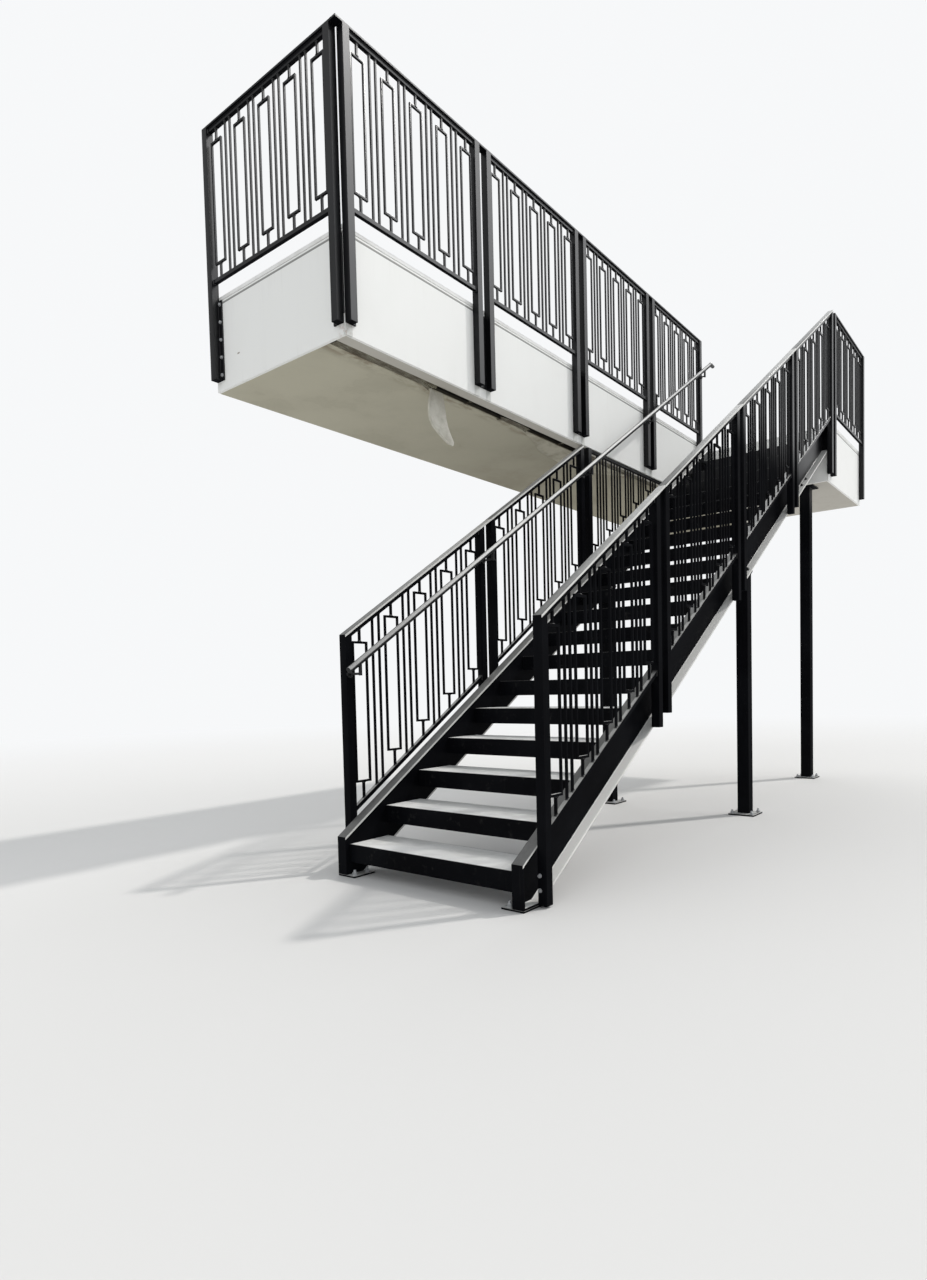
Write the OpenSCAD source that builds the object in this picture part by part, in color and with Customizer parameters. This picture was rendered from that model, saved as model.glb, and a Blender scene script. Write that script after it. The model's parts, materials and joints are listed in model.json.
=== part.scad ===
// Outside stair with a wall gallery, a landing and welded steel guards.
// Millimetres. X runs up the flight, Y points to the wall, Z is up.
// The origin is the middle of the gallery's wall face.

/* [Flight] */
// Number of risers from the ground to the deck
riser_count = 20; // [14:1:20]
// Height of one riser
riser = 178; // [160:1:185]
// Going of one tread, nose to nose
going = 280; // [260:1:300]
// Clear width between the two stringer webs
flight_w = 1138; // [1000:2:1300]

/* [Stringers] */
// Depth of the channel, square to the slope
stringer_d = 254; // [230:1:300]
// Width of the channel's flanges
flange_w = 66; // [55:1:80]
// Thickness of the flanges
flange_t = 11; // [9:1:14]
// Thickness of the web
web_t = 8; // [6:1:12]
// Plumb height of the stringer's top edge over the nosing line
stringer_rise = 60; // [40:1:75]
// Distance from the first nose back to the stringer's front end
foot_lead = 30; // [10:1:60]

/* [Treads] */
// Overlap of a tread under the nose of the next one
tread_lap = 10; // [5:1:20]
// Depth of the nose plate
nose_h = 100; // [80:1:110]
// Depth of the pan that holds the filling
pan_h = 40; // [30:1:50]
// Thickness of the tread's plates
tread_t = 5; // [4:1:6]

/* [Gallery and landing] */
// Length of gallery and landing together, along the wall
gallery_len = 6575; // [6400:5:6700]
// Depth of the gallery, from the wall to its outer face
gallery_d = 1273; // [1150:1:1400]
// Length of the landing along the wall
landing_len = 1400; // [1300:5:1500]
// Depth of the slab, from soffit to deck
slab_t = 540; // [480:5:600]
// Thickness of the fascia boards
fascia_t = 20; // [15:1:30]
// Thickness of the soffit boards
soffit_t = 25; // [18:1:30]
// Gap between flight and gallery
flight_gap = 2; // [2:1:10]
// Width of the open slot along the soffit
slot_w = 66; // [40:1:90]
// Width of the soffit strip between the slot and the fascia
slot_edge = 80; // [50:1:120]
// Depth of the slot over the soffit boards
slot_h = 40; // [20:1:60]
// Height of the kerb over the deck
kerb_h = 60; // [45:1:125]
// Width of the kerb
kerb_w = 80; // [50:1:120]
// Height of the fascia boards' top edge over the deck
fascia_lip = 32; // [20:1:45]
// Shadow gap between the fascia and the kerb
kerb_gap = 5; // [3:1:8]
// Open joint between two lengths of kerb
kerb_joint = 2; // [1:1:4]

/* [Guards] */
// Height of the level guards over the deck
guard_h = 1120; // [1067:1:1200]
// Height of the raked guards over the nosing line
rake_guard_h = 1120; // [1000:1:1160]
// Side of the square posts
post = 50; // [40:1:60]
// Gap between two neighbouring panels
post_gap = 75; // [50:1:90]
// Side of the square bars
bar = 13; // [10:1:16]
// Number of closed frames in a panel
frame_count = 5; // [4:1:6]
// Width of the flat cap
cap_w = 50; // [40:1:60]
// Thickness of the flat cap
cap_t = 12; // [8:1:15]
// Open joint between two lengths of cap
cap_joint = 0.5; // [0.3:0.1:2]
// Side of the square rail under the cap, and of the bottom rail
rail = 25; // [20:1:30]
// Bottom rail of a level guard over the deck
rail_lift = 132; // [127:1:150]
// Bottom rail of a raked guard over the nosing line
rake_rail_lift = 76; // [76:1:100]
// Length of the stubs under the closed frames
stub = 88; // [60:1:120]
// Length of the stubs over the closed frames
stub_top = 70; // [50:1:120]
// Distance from the soffit up to the lower end of a level guard's posts
post_foot = 62; // [40:1:90]
// Gap between the near corner's guard and the gallery's outer face
corner_gap = 8; // [5:1:20]
// Thickness of the flange that bolts the near guard to the fascia
end_flange_t = 8; // [6:1:12]
// Width of that flange beside the post
end_flange_w = 36; // [30:1:60]
// Gap between the near guard and the wall
wall_gap = 6; // [5:1:25]
// Distance from the gallery's last guard post to the flight's head
gallery_guard_stop = 205; // [150:5:250]
// Distance from the first nose to the outer guard's first post
guard_lead = 85; // [40:1:120]
// Distance from the first nose to the wall side guard's first post
inner_lead = 70; // [40:1:120]
// Lower end of the last level post under the deck
short_foot = 20; // [10:1:30]
// Clearance between the raked guard under the gallery and the soffit
soffit_gap = 1; // [1:1:5]

/* [Handrail] */
// Radius of the round handrail
handrail_r = 19; // [16:0.5:22]
// Height of the handrail's middle over the nosing line
handrail_h = 952; // [900:1:980]
// Distance from the wall side guard to the handrail's middle
handrail_off = 90; // [85:1:105]
// Length of the level piece at its top end
handrail_end = 60; // [50:1:120]
// Distance from the flight's head back to that piece
handrail_stop = 70; // [40:5:120]
// Radius of the ball that joins the level piece
handrail_ball = 22.5; // [22.5:0.5:25]
// Radius of a bracket's level rod
rod_r = 7; // [5:0.5:9]
// Radius of a bracket's upright pin
pin_r = 10; // [9.5:0.5:12]
// Drop from the handrail's middle to the bracket's level rod
rod_drop = 70; // [55:1:90]
// Radius of the round plate behind a bracket
rosette_r = 23; // [18:1:25]
// Thickness of that plate
rosette_t = 6; // [4:1:8]

/* [Columns and feet] */
// Side of the landing's square column
column = 100; // [80:1:120]
// Side of the two square columns under the stringers
stringer_column_w = 90; // [80:1:110]
// Distance from the first nose to the middle of those two columns
column_at = 2982; // [2600:2:3300]
// Side of the square base plates
base_w = 200; // [180:1:240]
// Thickness of the base and head plates
plate_t = 12; // [10:1:20]
// Length of the raked head plate that carries a stringer
head_plate_l = 160; // [120:5:200]
// Distance between the anchor holes of a base plate
anchor_pitch = 150; // [140:1:155]
// Radius of the anchor holes
anchor_r = 9; // [7:0.5:11]
// Distance from the landing's outer face to its column's middle
landing_column_in = 250; // [150:5:400]
// Distance from the landing's near face to its column's middle
landing_column_back = 125; // [100:5:400]
// Length of a stringer's foot plate along the flight
foot_plate_l = 150; // [130:1:200]
// Width of a stringer's foot plate
foot_plate_w = 130; // [120:1:160]
// Thickness of a stringer's foot plate
foot_plate_t = 10; // [8:1:15]
// Distance between the two anchor holes of a foot plate
foot_pitch = 90; // [80:1:100]
// Distance from the web's inner face to a foot plate's holes
foot_hole_in = 35; // [25:1:40]

/* [Hidden] */
$fn = 48;

function tread_name(i) = str("tread_", i < 10 ? "0" : "", i);

steel = "#1c1d1f";
white_paint = "#e9e9e4";
soffit_paint = "#b9b2a4";
deck_grey = "#9c9b96";
concrete = "#c9c7c0";

// Levels
deck_z = slab_t / 2;
soffit_z = -slab_t / 2;
ground_z = deck_z - riser_count * riser;
kerb_top = deck_z + kerb_h;

// Plan lines of gallery and landing
near_x = -gallery_len / 2;
far_x = gallery_len / 2;
head_x = far_x - landing_len;
gallery_y = -gallery_d;

// Plan lines of the flight, from the wall side outwards
wall_tip_y = gallery_y - flight_gap;
wall_web_y = wall_tip_y - flange_w;
open_web_y = wall_web_y - flight_w;
open_tip_y = open_web_y - flange_w;
foot_x = head_x - (riser_count - 1) * going;

// Slope of the flight
rake = riser / going;
plumb_k = sqrt(1 + rake * rake);
tread_d = going + tread_lap;
stringer_low = stringer_rise - stringer_d * plumb_k;

function nosing(x) = riser + rake * x;

// A side view outline drawn in X and Z, given the thickness t towards -Y from y
module side(y, t) translate([0, y, 0]) rotate([90, 0, 0]) linear_extrude(t) children();

// The same, with its middle plane at y
module side_mid(y, t) side(y + t / 2, t) children();

// A band that follows the slope k between two heights
module band(x0, x1, z0, z1, k) {
    polygon([[x0, z0 + k * x0], [x1, z0 + k * x1], [x1, z1 + k * x1], [x0, z1 + k * x0]]);
}

module block(x0, x1, y0, y1, z0, z1) translate([x0, y0, z0]) cube([x1 - x0, y1 - y0, z1 - z0]);

// Gallery and landing

core_z0 = soffit_z + soffit_t;

module gallery_deck() color(deck_grey) {
    slot_y0 = gallery_y + fascia_t + slot_edge;
    difference() {
        block(near_x + fascia_t, far_x, gallery_y + fascia_t, 0, core_z0, deck_z);
        block(near_x, head_x, slot_y0, slot_y0 + slot_w, core_z0 - 1, core_z0 + slot_h);
    }
}

module landing_deck() color(deck_grey) {
    block(head_x + fascia_t, far_x, open_tip_y + fascia_t, gallery_y + fascia_t, core_z0, deck_z);
}

module gallery_fascia() color(white_paint) {
    top_z = deck_z + fascia_lip;
    block(near_x, near_x + fascia_t, gallery_y, 0, soffit_z, top_z);
    block(near_x, head_x, gallery_y, gallery_y + fascia_t, soffit_z, top_z);
}

module landing_fascia() color(white_paint) {
    block(head_x, head_x + fascia_t, open_tip_y, gallery_y + fascia_t, soffit_z, deck_z);
    block(head_x, far_x, open_tip_y, open_tip_y + fascia_t, soffit_z, deck_z);
    block(head_x + fascia_t, far_x, open_tip_y, open_tip_y + fascia_t, soffit_z, deck_z + fascia_lip);
}

// Boards under the gallery, with the long slot left open
module gallery_soffit() color(soffit_paint) {
    slot_y0 = gallery_y + fascia_t + slot_edge;
    difference() {
        block(near_x + fascia_t, far_x, gallery_y + fascia_t, 0, soffit_z, core_z0);
        block(near_x, head_x, slot_y0, slot_y0 + slot_w, soffit_z - 1, core_z0 + 1);
    }
}

module landing_soffit() color(soffit_paint) {
    block(head_x + fascia_t, far_x, open_tip_y + fascia_t, gallery_y + fascia_t, soffit_z, core_z0);
}

// Kerb: its foot stands behind the fascia board, its upper part is flush with it
module edge_kerb() color(white_paint) {
    lip_z = deck_z + fascia_lip + kerb_gap;
    foot_y = gallery_y + fascia_t;
    outer_x = near_x + kerb_w + kerb_joint;
    block(near_x, near_x + kerb_w, gallery_y, 0, lip_z, kerb_top);
    block(near_x + fascia_t, near_x + kerb_w, foot_y, 0, deck_z, kerb_top);
    block(outer_x, head_x, gallery_y, gallery_y + kerb_w, lip_z, kerb_top);
    block(outer_x, head_x, foot_y, gallery_y + kerb_w, deck_z, kerb_top);
    block(head_x + fascia_t, far_x, open_tip_y, open_tip_y + kerb_w, lip_z, kerb_top);
    block(head_x + fascia_t, far_x, open_tip_y + fascia_t, open_tip_y + kerb_w, deck_z, kerb_top);
}

// Stringers: channels with the web towards the treads and the flanges outwards

stringer_end = (riser_count - 1) * going;
heel_x = -(stringer_low + riser) / rake;

function stringer_outline(inset) = [
    [-foot_lead + inset, foot_plate_t + inset],
    [heel_x + (foot_plate_t + inset - inset * plumb_k) / rake, foot_plate_t + inset],
    [stringer_end - inset, nosing(stringer_end - inset) + stringer_low + inset * plumb_k],
    [stringer_end - inset, nosing(stringer_end - inset) + stringer_rise - inset * plumb_k],
    [-foot_lead + inset, nosing(-foot_lead + inset) + stringer_rise - inset * plumb_k]];

module stringer(web_y, side_sign) color(steel) translate([foot_x, web_y, ground_z]) {
    web_top = side_sign > 0 ? web_t : 0;
    tip_top = side_sign > 0 ? flange_w : 0;
    side(web_top, web_t) polygon(stringer_outline(0));
    side(tip_top, flange_w) difference() {
        polygon(stringer_outline(0));
        polygon(stringer_outline(flange_t));
    }
}

// Foot plate under a stringer, reaching in under the first tread for its anchors
module foot_plate(web_y, side_sign) translate([foot_x, web_y, ground_z]) {
    y0 = side_sign > 0 ? flange_w - foot_plate_w : -flange_w;
    hole_y = -side_sign * foot_hole_in;
    mid_x = -foot_lead + foot_plate_l / 2;
    difference() {
        block(-foot_lead, foot_plate_l - foot_lead, y0, y0 + foot_plate_w, 0, foot_plate_t);
        for (dx = [-foot_pitch / 2, foot_pitch / 2])
            translate([mid_x + dx, hole_y, -1]) cylinder(h = foot_plate_t + 2, r = anchor_r);
    }
}

module foot_plates() color(steel) {
    foot_plate(wall_web_y, 1);
    foot_plate(open_web_y, -1);
}

// Treads: folded pans with a deep nose plate, filled flush

tread_low = (nose_h + pan_h) / 2;

// The last tread stops short of the landing's board
function depth_of(i) = i < riser_count - 1 ? tread_d : going - flight_gap;

module tread(i) color(steel) translate([foot_x + (i - 1) * going, 0, ground_z + i * riser]) {
    d = depth_of(i);
    side(wall_web_y, flight_w) polygon([
        [0, 0], [tread_t, 0], [tread_t, -pan_h + tread_t], [d - tread_t, -pan_h + tread_t],
        [d - tread_t, 0], [d, 0], [d, -pan_h], [tread_t, -pan_h],
        [tread_t, -nose_h + tread_t], [tread_t * 5, -nose_h + tread_t], [tread_t * 5, -nose_h],
        [0, -nose_h]]);
    for (y = [wall_web_y, open_web_y + tread_t])
        side(y, tread_t) polygon([[0, 0], [d, 0], [d, -tread_low], [0, -nose_h]]);
}

module tread_fills() color(concrete) {
    for (i = [1:riser_count - 1])
        translate([foot_x + (i - 1) * going, 0, ground_z + i * riser])
            block(tread_t, depth_of(i) - tread_t, open_web_y + tread_t, wall_web_y - tread_t,
                  -pan_h + tread_t, 0);
}

// Guards

// Bars of a panel that starts at x = 0 on the walking line: closed frames on
// short stubs, with two plain bars between them. low and high are the
// undersides of the bottom rail and of the rail under the cap.
module infill(len, k, low, high, pitch, count) {
    low_top = low + rail * sqrt(1 + k * k);
    frame_low = low_top + stub;
    frame_high = high - stub_top;
    for (i = [0:count - 1]) {
        xc = post + pitch * (1.5 + 5 * i);
        z = k * xc;
        half = pitch + bar / 2;
        difference() {
            translate([xc - half, z + frame_low]) square([2 * half, frame_high - frame_low]);
            translate([xc - half + bar, z + frame_low + bar])
                square([2 * (half - bar), frame_high - frame_low - 2 * bar]);
        }
        band(xc - bar / 2, xc + bar / 2, low_top - 1, frame_low + bar / 2, k);
        band(xc - bar / 2, xc + bar / 2, frame_high - bar / 2, high + 1, k);
        if (i < count - 1) for (n = [2, 3])
            band(xc + n * pitch - bar / 2, xc + n * pitch + bar / 2, low_top - 1, high + 1, k);
    }
}

// Spacing of the bars in a panel with count closed frames
function bar_pitch(len, count) = (len - 2 * post) / (5 * count - 2);

// One welded panel in its own plane: posts, cap, rails and bars.
// foot_a and foot_b are the lower ends of the two posts over the walking line.
// cap_a and cap_b carry the cap on past the posts, up to the next panel's cap.
module guard_panel(len, k, low, top, foot_a, foot_b, cap_a, cap_b) {
    kk = sqrt(1 + k * k);
    cap_mid = top - cap_t * kk / 2;
    high = top - (cap_t + rail) * kk;
    side_mid(0, post) {
        polygon([[0, foot_a], [post, foot_a], [post, cap_mid + k * post], [0, cap_mid]]);
        polygon([[len - post, foot_b], [len, foot_b], [len, cap_mid + k * len],
                 [len - post, cap_mid + k * (len - post)]]);
    }
    side_mid(0, cap_w) band(-cap_a, len + cap_b, top - cap_t * kk, top, k);
    side_mid(0, rail) {
        band(post / 2, len - post / 2, high, cap_mid, k);
        band(post / 2, len - post / 2, low, low + rail * kk, k);
    }
    side_mid(0, bar) infill(len, k, low, high, bar_pitch(len, frame_count), frame_count);
}

level_foot = -slab_t + post_foot;

// Reach of a cap over the gap between two panels
cap_run = post_gap - cap_joint;

module level_panel(len, foot_b = level_foot, cap_a = 0, cap_b = 0) {
    guard_panel(len, 0, rail_lift, guard_h, level_foot, foot_b, cap_a, cap_b);
}

// Gallery: four panels on the outer face, ending a little before the flight's head.
// The first cap turns the near corner, over the end guard's width.
gallery_guard_end = head_x - gallery_guard_stop;
gallery_panel = (gallery_guard_end - near_x - 3 * post_gap) / 4;

module guard_gallery(i) color(steel) {
    translate([near_x + (i - 1) * (gallery_panel + post_gap), gallery_y - post / 2, deck_z])
        level_panel(gallery_panel, i == 4 ? -short_foot : level_foot,
                    i == 1 ? post : 0, i < 4 ? cap_run : 0);
}

module guard_gallery_end() color(steel) {
    len = gallery_d - corner_gap - wall_gap;
    translate([near_x - post / 2, gallery_y + corner_gap, deck_z]) rotate([0, 0, 90])
        level_panel(len, cap_a = corner_gap - cap_joint);
    flange_y = -wall_gap - post;
    block(near_x - end_flange_t, near_x, flange_y - end_flange_w, flange_y + post / 2,
          soffit_z + post_foot, deck_z + fascia_lip);
}

// Flight: four panels on the open side
open_end = stringer_end + (guard_h - rake_guard_h) / rake;
open_panel = (open_end - guard_lead - 3 * post_gap) / 4;

function raked_foot(x) = max(nosing(x) + stringer_low, foot_plate_t) - nosing(x);

module raked_panel(x, len, foot_b, cap_b = 0) {
    base = nosing(x);
    foot_a = raked_foot(x + post / 2) + nosing(x + post / 2) - base;
    translate([foot_x + x, 0, ground_z + base])
        guard_panel(len, rake, rake_rail_lift, rake_guard_h, foot_a, foot_b - base, 0, cap_b);
}

module guard_open(i) color(steel) translate([0, open_tip_y - post / 2, 0]) {
    x = guard_lead + (i - 1) * (open_panel + post_gap);
    last_mid = x + open_panel - post / 2;
    raked_panel(x, open_panel, i == 4 ? soffit_z - ground_z + post_foot : nosing(last_mid) + stringer_low,
                i < 4 ? cap_run : 0);
}

module guard_landing() color(steel) {
    x0 = foot_x + open_end + post_gap;
    translate([x0, open_tip_y - post / 2, deck_z]) level_panel(far_x - wall_gap - x0);
}

// Flight: the wall side, two panels up to the soffit and one trimmed under it
under_h = soffit_z - soffit_gap - ground_z;
wall_end = (under_h - riser - rake_guard_h) / rake;
wall_panel = (wall_end - inner_lead - post_gap) / 2;

module guard_wall(i) color(steel) translate([0, wall_tip_y + post / 2, 0]) {
    x = inner_lead + (i - 1) * (wall_panel + post_gap);
    raked_panel(x, wall_panel, nosing(x + wall_panel - post / 2) + stringer_low, i == 1 ? cap_run : 0);
}

// The last wall side panel: a level top under the gallery and a raked bottom
module guard_wall_end() color(steel) {
    x = wall_end + post_gap;
    base = nosing(x);
    top = under_h - base;
    rail_z = top - rail;
    low_top = rake_rail_lift + rail * plumb_k;
    tip = (rail_z - rake_rail_lift) / rake;
    translate([foot_x + x, wall_tip_y + post / 2, ground_z + base]) {
        side_mid(0, post) polygon([[0, raked_foot(x + post / 2) + rake * post / 2],
                                   [post, raked_foot(x + post / 2) + rake * post / 2],
                                   [post, top], [0, top]]);
        side_mid(0, rail) {
            polygon([[post / 2, rail_z], [tip, rail_z], [tip, top], [post / 2, top]]);
            intersection() {
                band(post / 2, tip + rail, rake_rail_lift, low_top, rake);
                polygon([[0, 0], [tip, 0], [tip, top], [0, top]]);
            }
        }
        side_mid(0, bar) intersection() {
            infill(wall_panel, rake, rake_rail_lift, rake_guard_h - (cap_t + rail) * plumb_k,
                   bar_pitch(wall_panel, frame_count), frame_count + 1);
            polygon([[0, 0], [tip, rake * tip], [tip, rail_z + 1], [0, rail_z + 1]]);
        }
    }
}

// Handrail with its brackets, on the wall side

handrail_y = wall_tip_y - handrail_off;
rail_start = inner_lead - post;
rail_stop = stringer_end - handrail_stop;

function handrail_z(x) = nosing(x) + handrail_h;

// A bracket at x that starts on the face at y: round plate, level rod, upright rod
module bracket(x, y) {
    z = handrail_z(x) - rod_drop;
    translate([x, y, z]) rotate([90, 0, 0]) cylinder(h = rosette_t, r = rosette_r);
    translate([x, y - rosette_t / 2, z]) rotate([90, 0, 0])
        cylinder(h = y - rosette_t / 2 - handrail_y, r = rod_r);
    translate([x, handrail_y, z - pin_r]) cylinder(h = rod_drop + pin_r, r = pin_r);
}

module handrail() color(steel) translate([foot_x, 0, ground_z]) {
    joint_in = handrail_r / 2;
    translate([rail_stop, handrail_y, handrail_z(rail_stop)]) {
        sphere(r = handrail_ball);
        translate([joint_in, 0, 0]) rotate([0, 90, 0]) cylinder(h = handrail_end, r = handrail_r);
        rotate([0, -90 - atan(rake), 0]) translate([0, 0, joint_in])
            cylinder(h = (rail_stop - rail_start) * plumb_k, r = handrail_r);
    }
    for (x = [inner_lead + post / 2, inner_lead + wall_panel - post / 2, wall_end - post / 2])
        bracket(x, wall_tip_y);
    for (i = [3, 4])
        bracket(near_x - foot_x + i * gallery_panel + (i - 1) * post_gap - post / 2, gallery_y - post);
}

// Columns

module base_plate(x, y) difference() {
    block(x - base_w / 2, x + base_w / 2, y - base_w / 2, y + base_w / 2, 0, plate_t);
    for (dx = [-1, 1], dy = [-1, 1])
        translate([x + dx * anchor_pitch / 2, y + dy * anchor_pitch / 2, -1])
            cylinder(h = plate_t + 2, r = anchor_r);
}

// Column under a stringer, with a raked head plate; y is its middle
module raked_head_column(y) color(steel) translate([foot_x, 0, ground_z]) {
    x = column_at;
    half = stringer_column_w / 2;
    head = riser + stringer_low;
    head_low = head - plate_t * plumb_k;
    head_mid = (head + head_low) / 2;
    base_plate(x, y);
    side_mid(y, stringer_column_w) {
        polygon([[x - half, plate_t / 2], [x + half, plate_t / 2],
                 [x + half, head_mid + rake * (x + half)],
                 [x - half, head_mid + rake * (x - half)]]);
        band(x - head_plate_l / 2, x + head_plate_l / 2, head_low, head, rake);
    }
}

module column_landing() color(steel) translate([0, 0, ground_z]) {
    x = head_x + landing_column_back;
    y = open_tip_y + landing_column_in;
    top = soffit_z - ground_z;
    base_plate(x, y);
    block(x - column / 2, x + column / 2, y - column / 2, y + column / 2,
          plate_t / 2, top - plate_t / 2);
    block(x - base_w / 2, x + base_w / 2, y - base_w / 2, y + base_w / 2, top - plate_t, top);
}

// What is drawn

gallery_deck();
landing_deck();
gallery_fascia();
landing_fascia();
gallery_soffit();
landing_soffit();
edge_kerb();
stringer(wall_web_y, 1);  // stringer_wall_side
stringer(open_web_y, -1);  // stringer_open_side
foot_plates();
for (i = [1:riser_count - 1])
    tread(i);
tread_fills();
guard_gallery_end();
for (i = [1:4])
    guard_gallery(i);
guard_landing();
for (i = [1:4])
    guard_open(i);
for (i = [1:2])
    guard_wall(i);
guard_wall_end();
handrail();
raked_head_column(open_tip_y + stringer_column_w / 2);  // column_open_side
raked_head_column(wall_tip_y - stringer_column_w / 2);  // column_wall_side
column_landing();
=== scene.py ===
"""Looks of the outside stair: finishes, fastenings, welds and the worn soffit vent."""
import json
import math
import random

import bmesh
import bpy
from mathutils import Matrix, Vector


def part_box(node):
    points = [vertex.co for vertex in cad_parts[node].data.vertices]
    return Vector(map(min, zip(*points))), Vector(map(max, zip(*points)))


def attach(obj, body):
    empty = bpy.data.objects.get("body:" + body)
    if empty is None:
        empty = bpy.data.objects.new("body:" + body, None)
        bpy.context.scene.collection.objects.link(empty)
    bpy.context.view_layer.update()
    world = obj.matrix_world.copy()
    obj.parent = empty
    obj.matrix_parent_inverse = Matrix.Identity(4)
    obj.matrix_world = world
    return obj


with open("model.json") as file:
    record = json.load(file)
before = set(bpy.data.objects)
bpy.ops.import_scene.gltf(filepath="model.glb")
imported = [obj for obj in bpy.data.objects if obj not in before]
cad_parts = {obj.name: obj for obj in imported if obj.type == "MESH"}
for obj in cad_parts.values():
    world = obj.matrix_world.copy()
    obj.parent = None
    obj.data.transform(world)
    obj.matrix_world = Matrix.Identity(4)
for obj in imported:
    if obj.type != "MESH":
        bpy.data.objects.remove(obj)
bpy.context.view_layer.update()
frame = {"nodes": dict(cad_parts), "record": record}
nodes = frame["nodes"]

# Flight and stringers, in metres, as the part's solids have them
RISER, GOING, RISERS = 0.178, 0.280, 20
RAKE = RISER / GOING
PLUMB = math.sqrt(1 + RAKE * RAKE)
FLIGHT_W, FLIGHT_GAP, FOOT_LEAD = 1.138, 0.002, 0.030
STRINGER_D, STRINGER_RISE, FLANGE_W = 0.254, 0.060, 0.066
STRINGER_LOW = STRINGER_RISE - STRINGER_D * PLUMB
# Plumb thickness of a stringer's flange
FLANGE_T = 0.011 * PLUMB

# Gallery and landing
DECK_Z, SOFFIT_Z = 0.270, -0.270
GROUND_Z = DECK_Z - RISERS * RISER
NEAR_X, FAR_X = -3.2875, 3.2875
LANDING_LEN, FASCIA_T = 1.400, 0.020
HEAD_X = FAR_X - LANDING_LEN
FOOT_X = HEAD_X - (RISERS - 1) * GOING
GALLERY_Y = -1.273
WALL_TIP_Y = GALLERY_Y - FLIGHT_GAP
WALL_WEB_Y = WALL_TIP_Y - FLANGE_W
OPEN_WEB_Y = WALL_WEB_Y - FLIGHT_W
OPEN_TIP_Y = OPEN_WEB_Y - FLANGE_W
SLOT_EDGE, SLOT_W = 0.080, 0.066
SLOT_Y0 = GALLERY_Y + FASCIA_T + SLOT_EDGE
SLOT_Y1 = SLOT_Y0 + SLOT_W

# Guards: sections, heights and the gaps beside the panels
POST, BAR, RAIL, CAP_T, FRAMES = 0.050, 0.013, 0.025, 0.012, 5
STUB, STUB_TOP = 0.088, 0.070
GUARD_H, RAIL_LIFT, RAKE_RAIL_LIFT = 1.120, 0.132, 0.076
POST_GAP, CORNER_GAP, WALL_GAP, SOFFIT_GAP = 0.075, 0.008, 0.006, 0.001
GALLERY_STOP, OPEN_LEAD, WALL_LEAD = 0.205, 0.085, 0.070
POST_FOOT_Z = SOFFIT_Z + 0.062
END_FLANGE_T, END_FLANGE_W = 0.008, 0.036
GALLERY_PANEL = (HEAD_X - GALLERY_STOP - NEAR_X - 3 * POST_GAP) / 4
OPEN_PANEL = (HEAD_X - FOOT_X - OPEN_LEAD - 3 * POST_GAP) / 4
UNDER_GALLERY = (SOFFIT_Z - SOFFIT_GAP - GROUND_Z - RISER - GUARD_H) / RAKE
WALL_PANEL = (UNDER_GALLERY - WALL_LEAD - POST_GAP) / 2
GALLERY_STARTS = [NEAR_X + i * (GALLERY_PANEL + POST_GAP) for i in range(4)]
OPEN_STARTS = [FOOT_X + OPEN_LEAD + i * (OPEN_PANEL + POST_GAP) for i in range(4)]
WALL_STARTS = [FOOT_X + WALL_LEAD + i * (WALL_PANEL + POST_GAP) for i in range(2)]
LANDING_START = OPEN_STARTS[-1] + OPEN_PANEL + POST_GAP
END_START = GALLERY_Y + CORNER_GAP

# Handrail, feet and columns
HANDRAIL_H, ROD_DROP, ROSETTE_T = 0.952, 0.070, 0.006
COLUMN_PLATE_T, ANCHOR_AT = 0.012, 0.075
FOOT_PLATE_L, FOOT_PLATE_T, FOOT_HOLE_AT, FOOT_HOLE_IN = 0.150, 0.010, 0.045, 0.035


def nosing(x):
    """Height of the nosing line over x."""
    return GROUND_Z + RISER + RAKE * (x - FOOT_X)


class Value:
    """A shader value whose arithmetic adds Math nodes."""

    def __init__(self, tree, socket):
        self.tree = tree
        self.socket = socket

    def _math(self, operation, *others, swap=False, clamp=False):
        node = self.tree.nodes.new("ShaderNodeMath")
        node.operation = operation
        node.use_clamp = clamp
        values = [*others, self] if swap else [self, *others]
        for i, value in enumerate(values):
            if isinstance(value, Value):
                self.tree.links.new(value.socket, node.inputs[i])
            else:
                node.inputs[i].default_value = float(value)
        return Value(self.tree, node.outputs[0])

    def __add__(self, other):
        return self._math("ADD", other)

    def __radd__(self, other):
        return self._math("ADD", other)

    def __sub__(self, other):
        return self._math("SUBTRACT", other)

    def __rsub__(self, other):
        return self._math("SUBTRACT", other, swap=True)

    def __mul__(self, other):
        return self._math("MULTIPLY", other)

    def __rmul__(self, other):
        return self._math("MULTIPLY", other)

    def __truediv__(self, other):
        return self._math("DIVIDE", other)

    def __pow__(self, other):
        return self._math("POWER", other)

    def abs(self):
        return self._math("ABSOLUTE")

    def fract(self):
        return self._math("FRACT")

    def clamp(self):
        return self._math("ADD", 0.0, clamp=True)

    def within(self, low, high, soft):
        """1 between low and high, with soft edges outside them."""
        return self.step(low - soft, low) * self.step(high + soft, high)

    def step(self, low, high):
        """0 below low and 1 above high, with a smooth slope between; low may be over high."""
        node = self.tree.nodes.new("ShaderNodeMapRange")
        node.interpolation_type = "SMOOTHSTEP"
        self.tree.links.new(self.socket, node.inputs["Value"])
        flip = low > high
        node.inputs["From Min"].default_value = min(low, high)
        node.inputs["From Max"].default_value = max(low, high)
        node.inputs["To Min"].default_value = 1.0 if flip else 0.0
        node.inputs["To Max"].default_value = 0.0 if flip else 1.0
        return Value(self.tree, node.outputs["Result"])


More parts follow.
